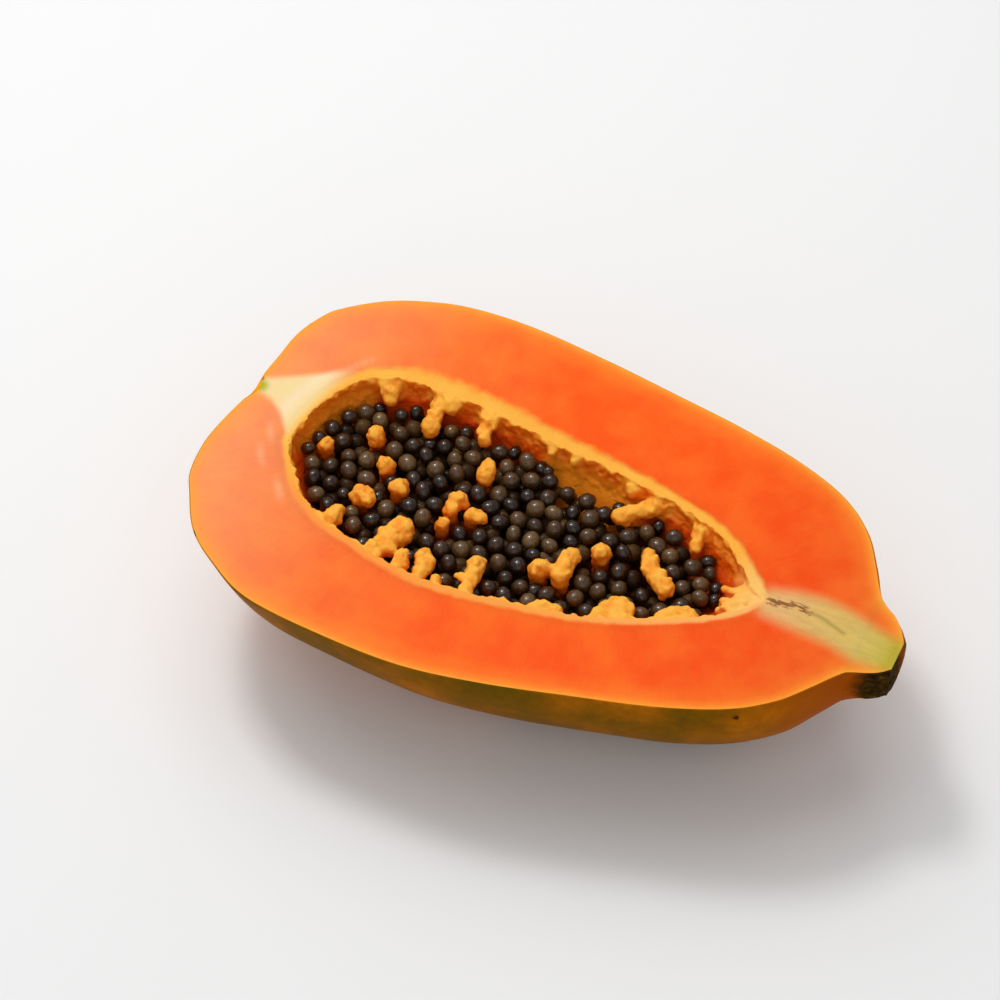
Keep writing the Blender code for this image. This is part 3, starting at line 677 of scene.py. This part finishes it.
# Smaller crumbs beside them, which fill out the rim
CRUMBS = (
    ((-75.5, 31.0, 2.4, 2.6), (-73.8, 28.6, 3.0, 2.4)),
    ((-54.0, 34.0, 2.0, 3.0), (-51.5, 30.5, 2.6, 2.6)),
    ((-36.5, 32.0, 2.0, 2.6), (-35.8, 28.5, 2.6, 2.2)),
    ((-70.5, -30.0, 2.2, 2.8), (-68.5, -26.5, 2.8, 2.4)),
    ((-39.0, -33.0, 2.8, 2.6), (-39.4, -29.2, 3.2, 2.6)),
    ((-33.0, -29.0, 3.2, 2.6), (-33.6, -25.2, 3.8, 2.4)),
    ((5.5, -31.5, 2.6, 2.4), (8.6, -29.2, 3.0, 2.6), (13.0, -29.0, 2.8, 2.4)),
    ((25.5, -25.5, 2.8, 3.0), (27.8, -19.8, 3.4, 3.4), (32.4, -19.4, 3.2, 3.2)),
    ((43.0, -17.5, 2.8, 2.6), (47.5, -13.4, 3.2, 2.8), (52.3, -13.4, 2.8, 2.4)),
    ((72.2, 0.0, 2.0, 3.4), (71.2, 0.0, 2.0, 3.4)),
    ((-93.6, -5.5, 2.0, 3.4), (-92.8, -5.5, 2.0, 3.4)),
    ((69.5, 3.4, 1.0, 1.6), (67.4, 2.4, 0.9, 1.6)),
)
BARE = ((-7.0, 26.0, 9.0, 4.5), (10.0, 24.0, 9.0, 4.5))    # the bare hollow, in the same terms
STALK_RADIUS = 2.2       # foot of a lump that stands among the seeds
LIP_WIDTH = 5.2          # how far the piece reaches into the flesh
LIP_HEIGHT = 0.4         # how far its top stands over the cut face before it is cut level
WALL_DEPTH = 12.0        # how far down the wall goes, to under the seeds
VOXEL = 0.62             # mesh size of the fused surface


def below_cut(path):
    """A lump's path with its depths turned into heights."""
    path = np.array(path, float)
    path[:, 2] = CUT - path[:, 2]
    return path


def cavity_section(x):
    """The cavity's middle line in the cut face at x, half its width there and its round section's radius."""
    far, near = edges_at(curve_through(RIM, 2), x)
    half = (far - near) / 2
    return (far + near) / 2, half, half * np.hypot(1, CAVITY_RISE)


def path_balls(paths):
    """Paths of x, y, z, radius as rows of 12 balls each."""
    return np.concatenate([
        read_at(np.linspace(0, len(path) - 1, 12), np.arange(len(path)), path) for path in paths
    ])


def lump_room(places, balls):
    """Each place's least distance to the balls' surfaces."""
    return (np.linalg.norm(places[:, None] - balls[None, :, :3], axis=2) - balls[:, 3]).min(axis=1)


def standing_strands():
    """Every standing lump's head and its stalk, whose foot is sunk in the cavity's floor."""
    strands = []
    for path in STANDING_LUMPS:
        head = below_cut(path)
        middle, half, radius = cavity_section(head[0, 0])
        across = min(abs(head[0, 1] - middle), half)
        bottom = CUT + CAVITY_RISE * half - np.sqrt(radius**2 - across**2)
        foot = np.array([[*head[0, :2], bottom - STALK_RADIUS, STALK_RADIUS]])
        strands += [head, np.vstack([foot, head[:1]])]
    return strands


def strand(path, around=12):
    """A round lump carried along a path of x, y, z, radius (mm): circles across it, and rounded ends."""
    path = np.asarray(path, float)
    if len(path) == 1:
        path = np.vstack([path, path + (0, 0, 0.1, 0)])
    ahead = unit(np.gradient(path[:, :3], axis=0))
    radius = path[:, 3]
    end_turns = np.radians([90, 62, 32])
    reach, size = np.sin(end_turns), np.cos(end_turns)
    first = path[0, :3] - np.outer(reach, ahead[0]) * radius[0]
    last = path[-1, :3] + np.outer(reach[::-1], ahead[-1]) * radius[-1]
    places = np.vstack([first, path[:, :3], last])
    sizes = np.concatenate([size * radius[0], radius, size[::-1] * radius[-1]])
    ahead = np.vstack([ahead[[0] * 3], ahead, ahead[[-1] * 3]])
    aside = unit(np.cross(ahead, (0.31, 0.17, 0.93)))
    upward = np.cross(aside, ahead)
    turn = np.linspace(0, 2 * np.pi, around, endpoint=False)[None, :, None]
    spread = np.cos(turn) * aside[:, None] + np.sin(turn) * upward[:, None]
    return places[:, None] + sizes[:, None, None] * spread


def ball_rings(high, around):
    """Rings of points on a ball of radius 1, at the angles given over its middle."""
    turn = np.linspace(0, 2 * np.pi, around, endpoint=False)
    high = high[:, None]
    flat = np.cos(high)
    return np.stack([flat * np.cos(turn), flat * np.sin(turn), np.sin(high + 0 * turn)], axis=-1)


def fused(name, grids, voxel, surface):
    """One closed surface round all the grids' solids, with faces of the voxel's size, a little softened."""
    piece = new_piece(name, *gathered(grids, closed=True), [surface], merge=1e-7)
    step = piece.modifiers.new("fuse", "REMESH")
    step.mode = "VOXEL"
    step.voxel_size = voxel / 1000
    soften = piece.modifiers.new("soften", "SMOOTH")
    soften.factor = 0.5
    soften.iterations = 1
    shown = piece.evaluated_get(bpy.context.evaluated_depsgraph_get())
    result = bpy.data.meshes.new_from_object(shown)
    piece.modifiers.clear()
    piece.data = result
    result.shade_smooth()
    return piece


# The lip and the wall: a profile carried round the rim, from its top outwards, down and up the wall
back_again = np.arange(len(outline) - 2, 0, -1)
index = np.concatenate([np.arange(len(outline)), back_again])
side = np.concatenate([np.ones(len(outline)), -np.ones(len(back_again))])
rim_out = np.vstack([rim_normals[0], rim_normals[1][back_again]])
rim_half = ((rim_points[0] - rim_points[1])[:, 1] / 2)[index]
rim_middle = rim_points.mean(axis=0)[index]


def wall_at(depth, outward=0.0):
    """Points of the wall at a depth: where its circles stand at that height, or its floor where higher."""
    reach, lift = rim_half * np.hypot(1, CAVITY_RISE), CAVITY_RISE * rim_half
    held = np.minimum(depth, np.maximum(reach - lift - 0.2, 0))
    across = np.sqrt(np.clip(reach**2 - (held + lift) ** 2, 0, None))
    plan = rim_middle + np.column_stack([np.zeros(len(side)), side * across]) + outward * rim_out
    return np.column_stack([plan, CUT - held])


def lip_at(outward, height=LIP_HEIGHT):
    """Points outside the rim at a height over the cut face."""
    return np.column_stack([rim_loop + outward * rim_out, np.full(len(rim_loop), CUT + height)])


profile = [lip_at(outward) for outward in (0.0, 0.8, 2.6, LIP_WIDTH)]
profile += [lip_at(LIP_WIDTH, -3.6), wall_at(WALL_DEPTH, 2.2)]
profile += [wall_at(depth) for depth in (WALL_DEPTH, 10, 8, 6, 4.5, 3, 1.8, 0.8)]
lining = np.stack(profile + profile[:1], axis=1)
lining = np.concatenate([lining, lining[:1]])
lump_paths = [below_cut(path) for path in RIM_LUMPS] + standing_strands()
crumb_paths = [below_cut(path) for path in CRUMBS]

# Knobs on the lumps and along the rim, and the frayed tuft where the cavity ends
draw = np.random.default_rng(5)
spots, sizes = [], []
for path in lump_paths + crumb_paths:
    where = draw.uniform(0, len(path) - 1, 8 * len(path))
    on_path = read_at(where, np.arange(len(path)), path)
    aim = unit(draw.normal(size=(len(where), 3)))
    spots.append(on_path[:, :3] + 0.78 * on_path[:, 3:] * aim)
    sizes.append(on_path[:, 3] * draw.uniform(0.26, 0.52, len(where)))
where = draw.integers(0, len(rim_loop), 260)
low = draw.uniform(0.4, 3.2, 260)
size = draw.uniform(0.7, 2.0, 260)
spots.append(np.column_stack([rim_loop[where] + (0.35 * size)[:, None] * rim_out[where], CUT - low]))
sizes.append(size)
ball = ball_rings(np.linspace(-np.pi / 2, np.pi / 2, 7), 8)
knobs = np.vstack(spots)[:, None, None] + np.concatenate(sizes)[:, None, None, None] * ball
tuft = []
for _ in range(22):
    root = np.array([draw.uniform(61, 70), draw.uniform(-7, 4), draw.uniform(1.4, 4.0)])
    tip = root + (draw.uniform(-5, -2), draw.uniform(-2, 2), draw.uniform(-0.5, 1.2))
    size = draw.uniform(0.9, 1.5)
    tuft.append(strand(below_cut([(*root, size), (*tip, 0.9 * size)]), around=8))
# The lumps' cores are a little thinner than their paths say, most at the root of those on the wall, and the
# knobs make up for it
rooted = [
    path * np.column_stack([np.ones((len(path), 3)), np.linspace(0.76, 0.92, len(path))])
    for path in lump_paths[:len(RIM_LUMPS)]
]
others = [path * (1, 1, 1, 0.9) for path in lump_paths[len(RIM_LUMPS):] + crumb_paths]
strands = [strand(path) for path in rooted + others]
pulp = fused("fruit_pulp", [lining, *strands, *knobs, *tuft], VOXEL, flesh)

# The crumbly relief inside the rim; the lip's top stays under the cut and sinks into the flesh outwards
places = 1000 * held_by_points(pulp, "co")
x, y = places[:, :2].T
gap = from_line(places[:, :2], rim_line)[0]
far_edge, near_edge = edges_at(rim, x)
inside_rim = (y < far_edge) & (y > near_edge)
free = np.where(inside_rim, 1.0, step_up((1.2 - gap) / 1.2))
relief = 0.45 * soft_noise(places, 3.0, 21) + 0.4 * soft_noise(places, 1.5, 22)
relief += 0.22 * soft_noise(places, 0.8, 23)
places += (free * relief)[:, None] * held_by_points(pulp, "normal")
balls = path_balls(lump_paths + crumb_paths)
room = np.concatenate([lump_room(part, balls) for part in np.array_split(places, 40)])
set_values(pulp, "lump", 1 - step_up((room - 0.3) / 1.4))
# The relief is kept as a number, for the painted shade in its hollows
set_values(pulp, "crumb", np.where(inside_rim, 2.2 * relief, 0))
places[:, 2] = np.minimum(places[:, 2], CUT - 0.01 - 0.06 * step_up((gap - 3.4) / 1.8) * ~inside_rim)
pulp.data.vertices.foreach_set("co", (places / 1000).ravel().astype(np.float32))
tidy = bmesh.new()
tidy.from_mesh(pulp.data)
bmesh.ops.remove_doubles(tidy, verts=tidy.verts, dist=8e-5)
tidy.to_mesh(pulp.data)
tidy.free()
set_zones(pulp)
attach(pulp, "root")
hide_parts("fruit_half")


# The seeds. Each is a dark round seed in its own wet, slightly wrinkled coat, and they lie packed in the
# cavity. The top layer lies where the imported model's seeds do, two more fill the gaps under it, and smaller
# seeds nestle against the wall and the lumps.
SEED_TRIES = 16000       # random spots that are tried for a layer
PILE_DEPTH = 7.6         # depth of the seeds' middles at the frame's middle
PILE_RISE = (0.004, -0.01)
PILE_WOBBLE = 0.7        # how far a seed may lie over or under the pile's slope
PILE_LOW, PILE_HIGH = (-90.0, -38.0), (64.0, 34.0)
# Each layer's radius, depth under the pile's height and random seed, and the least distances between its
# middles, from them to the wall and the lumps, and to the middles that are there already
LAYERS = (
    (3.1, 0.0, 11, 5.9, 3.6, 4.9),
    (3.1, 2.6, 12, 5.4, 3.6, 4.9),
    (3.1, 6.4, 13, 5.6, 3.6, 4.9),
    (2.6, 0.6, 14, 4.6, 1.9, 4.7),
    (2.6, 4.0, 15, 4.8, 2.0, 4.7),
)
LONE_SEED = (-13.4, 22.4, CUT - 7.4)     # a small one that lies alone in the bare hollow
LONE_RADIUS = 2.2


def pile_height(x, y):
    """Height of the seeds' middles over a point of the frame."""
    return CUT - PILE_DEPTH + PILE_RISE[0] * x + PILE_RISE[1] * y


def wall_room(places):
    """Each place's distance to the wall: what is left of its circle's radius, over how fast that falls."""
    def inside(spots):
        middle, half, radius = cavity_section(spots[:, 0])
        return radius - np.hypot(spots[:, 1] - middle, spots[:, 2] - CUT - CAVITY_RISE * half)

    slope = np.stack([inside(places + step) - inside(places - step) for step in 0.5 * np.eye(3)], axis=1)
    return inside(places) / np.maximum(np.linalg.norm(slope, axis=1), 1e-6)


def seed_places(layer, seed, spacing, clear, apart, others):
    """A layer's seeds from the blossom end on, each in the first of many random spots that has room."""
    draw = np.random.default_rng(seed)
    spots = draw.uniform(PILE_LOW, PILE_HIGH, (SEED_TRIES, 2))
    height = pile_height(*spots.T) + draw.uniform(-PILE_WOBBLE, PILE_WOBBLE, SEED_TRIES) - layer
    spots = np.column_stack([spots, height])
    spots = spots[np.minimum(wall_room(spots), lump_room(spots, kept_clear)) > clear]
    spots = spots[np.argsort(spots[:, 0])]
    if len(others):
        spots = spots[np.linalg.norm(spots[:, None] - others[None], axis=2).min(axis=1) > apart]
    kept = spots[:1]
    for spot in spots[1:]:
        if np.linalg.norm(kept - spot, axis=1).min() > spacing:
            kept = np.vstack([kept, spot])
    return kept


kept_clear = path_balls(lump_paths + [below_cut(BARE)])
middles, radii = np.empty((0, 3)), []
for radius, *rule in LAYERS:
    found = seed_places(*rule, middles)
    middles = np.vstack([middles, found])
    radii += [radius] * len(found)
middles = np.vstack([middles, LONE_SEED])
count = len(middles)

# One seed's shape, 60 faces: rings from pole to pole, a few per cent out of round
around, up = 10, 5
rings = ball_rings(np.linspace(-np.pi / 2, np.pi / 2, up + 2)[1:-1], around).reshape(-1, 3)
seed_shape = np.vstack([(0, 0, -1), rings, (0, 0, 1)])
quads = grid_faces(up, around, first=1, closed=True)
j = 1 + np.arange(around)
ahead = 1 + (j % around)
last = (up - 1) * around
bottom = np.column_stack([np.zeros(around, int), ahead, j])
top = np.column_stack([np.full(around, 1 + up * around), last + j, last + ahead])
draw = np.random.default_rng(31)
turned, _ = np.linalg.qr(draw.normal(size=(count, 3, 3)))
size = np.array([*radii, LONE_RADIUS]) * draw.uniform(0.9, 1.06, count)
size[-1] = LONE_RADIUS
stretch = draw.uniform((0.86, 0.84, 0.95), (1.0, 0.98, 1.1), (count, 3))
shapes = size[:, None, None] * np.einsum("vk,sk,skj->svj", seed_shape, stretch, turned)
shapes *= 1 + 0.06 * soft_noise(shapes + middles[:, None] * 3, 2.2, 32)[..., None]
base = len(seed_shape) * np.arange(count)[:, None, None]
seed_faces = [
    face for corners in (quads, bottom, top) for face in (corners + base).reshape(-1, corners.shape[1])
]

coats, tree, shader = new_material("Wet papaya seeds in their coats")
# A black-brown seed shows through a thin grey-green skin full of juice, which is wrinkled and shines softly.
here = add_node(tree, "TexCoord").outputs["Object"]
tone, gloss = [add_node(tree, "Attribute", attribute_name=name).outputs["Fac"] for name in ("tone", "gloss")]
wrinkle = add_node(tree, "TexNoise", {"Vector": here, "Scale": 900.0, "Detail": 4.0, "Roughness": 0.6})
mixed_tone = add_node(tree, "Math", (wrinkle, 0.5, tone), operation="MULTIPLY_ADD")
coat_tone = add_node(tree, "ValToRGB", {"Fac": mixed_tone}, [
    (0.25, "#1a0c05"), (0.5, "#35200f"), (0.75, "#573d20"), (1.0, "#7c623a"),
])
wrinkles = add_node(tree, "Bump", {"Height": wrinkle, "Strength": 0.55, "Distance": 0.0006})
fill_inputs(tree, shader, {
    "Base Color": coat_tone, "Normal": wrinkles, "Roughness": 0.4, "Specular IOR Level": 0.1,
    "Specular Tint": "#f2dcc0", "Coat Weight": gloss, "Coat Roughness": 0.12,
})
seed_points = (middles[:, None] + shapes).reshape(-1, 3)
seeds = new_piece("seed_heap", seed_points, seed_faces, np.zeros(len(seed_faces)), [coats], merge=1e-7)
# Tones are drawn seed by seed, and only those that lie open shine
set_values(seeds, "tone", np.repeat(0.6 * draw.uniform(0, 1, count) ** 1.4, len(seed_shape)))
lies_open = np.where(middles[:, 2] > pile_height(*middles[:, :2].T) - 1.6, 0.9, 0.1)
set_values(seeds, "gloss", np.repeat(lies_open, len(seed_shape)))
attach(seeds, "root")
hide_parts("seeds")


# The stump of the stalk. It is woody under a dry brown bark, narrows to its broken end, and was cut level
# with the fruit, so its green-yellow fibres show on top. Its foot is sunk in the fruit.
arc_share, top_share = np.linspace(0, 1, 61), np.linspace(0, 1, 25)
bark, turn = arcs_below(stump_edges, stump_rows[:, 4], arc_share)
ridge_place = np.dstack([bark[:, :, 0] / 5, turn * 9, 0 * turn])
ridges = 0.45 * soft_noise(ridge_place, 1.0, 41) + 0.25 * soft_noise(bark, 1.6, 42) - 0.35
fade = step_up((CUT - bark[:, :, 2]) / 1.5) * step_up((bark[:, :, 0] - FRUIT_END) / 4)
centre = np.column_stack([stump_edges.mean(axis=0), CUT + stump_rows[:, 4]])
bark += (fade * ridges)[:, :, None] * unit(bark - centre[:, None])
stump_top = bark[:, :1] + top_share[:, None] * (bark[:, -1:] - bark[:, :1])
stump_top[:, 1:-1, 2] -= 0.005
# The broken end and the hidden foot, each between the bark's arc and the top's line
stump_end, stump_foot = [
    np.linspace(bark[k], read_at(arc_share, top_share, stump_top[k]), rows) for k, rows in ((-1, 9), (0, 3))
]
stump_end[1:-1, :, 0] += 0.35 * soft_noise(stump_end[1:-1] * (0, 1, 1), 1.8, 43) - 0.3
grids = [bark, stump_top, stump_end, stump_foot]
stump = new_piece("stalk_stump", *gathered(grids, [0, 1, 0, 0]), [skin, flesh])
set_zones(stump)
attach(stump, "root")
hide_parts("stem_stub")


# The studio: a pale floor, a broad soft lamp at the upper left behind the fruit with a small one beside it
# for the seeds' highlights, a weak one in front, and even light all round. Places are in metres here.
floor_paper, tree, shader = new_material("Matt white backdrop paper")
# Plain matt paper, so that only the fruit has colour.
fill_inputs(tree, shader, {"Base Color": "#eeeeee", "Roughness": 0.9})
mesh = bpy.data.meshes.new("floor")
mesh.from_pydata([(-6, -6, 0), (6, -6, 0), (6, 6, 0), (-6, 6, 0)], [], [(0, 1, 2, 3)])
mesh.materials.append(floor_paper)
new_object("floor", mesh)

AZIMUTH, ELEVATION = np.radians(24.7), np.radians(52.9)
DISTANCE = 1.15          # from the camera to the middle of the cut face
FRAME_WIDTH = 0.3108     # what the picture shows across at that distance
toward = np.array([
    np.sin(AZIMUTH) * np.cos(ELEVATION), -np.cos(AZIMUTH) * np.cos(ELEVATION), np.sin(ELEVATION)
])
to_right = np.array([np.cos(AZIMUTH), np.sin(AZIMUTH), 0.0])
camera = new_object("camera", bpy.data.cameras.new("camera"))
place = np.eye(4)
place[:3] = np.column_stack([
    to_right, np.cross(toward, to_right), toward, (-0.001, 0.0006, CUT / 1000) + DISTANCE * toward
])
camera.matrix_world = Matrix(place.tolist())
camera.data.sensor_width = 36.0
camera.data.lens = camera.data.sensor_width * DISTANCE / FRAME_WIDTH
camera.data.shift_x = -0.055
camera.data.shift_y = 0.0208
camera.data.clip_end = 50.0
bpy.context.scene.camera = camera

# Square soft lamps that face the fruit: place, size, power
for name, place, size, power in (
    ("key_lamp", (-0.6, 0.48, 1.6), 1.7, 12.4),
    ("glint_lamp", (-0.56, 0.3, 1.2), 0.28, 5.6),
    ("fill_lamp", (0.5, -1.0, 1.15), 1.4, 3.2),
):
    lamp = bpy.data.lights.new(name, "AREA")
    lamp.size = size
    lamp.energy = power
    away = Vector(place) - Vector((0, 0, 0.03))
    turned_to_fruit = away.to_track_quat("Z", "Y").to_matrix().to_4x4()
    new_object(name, lamp).matrix_world = Matrix.Translation(place) @ turned_to_fruit
world = bpy.data.worlds.new("studio")
world.use_nodes = True
fill_inputs(world.node_tree, world.node_tree.nodes["Background"], {"Color": "#ffffff", "Strength": 0.42})
bpy.context.scene.world = world
bpy.context.scene.view_settings.view_transform = "Standard"
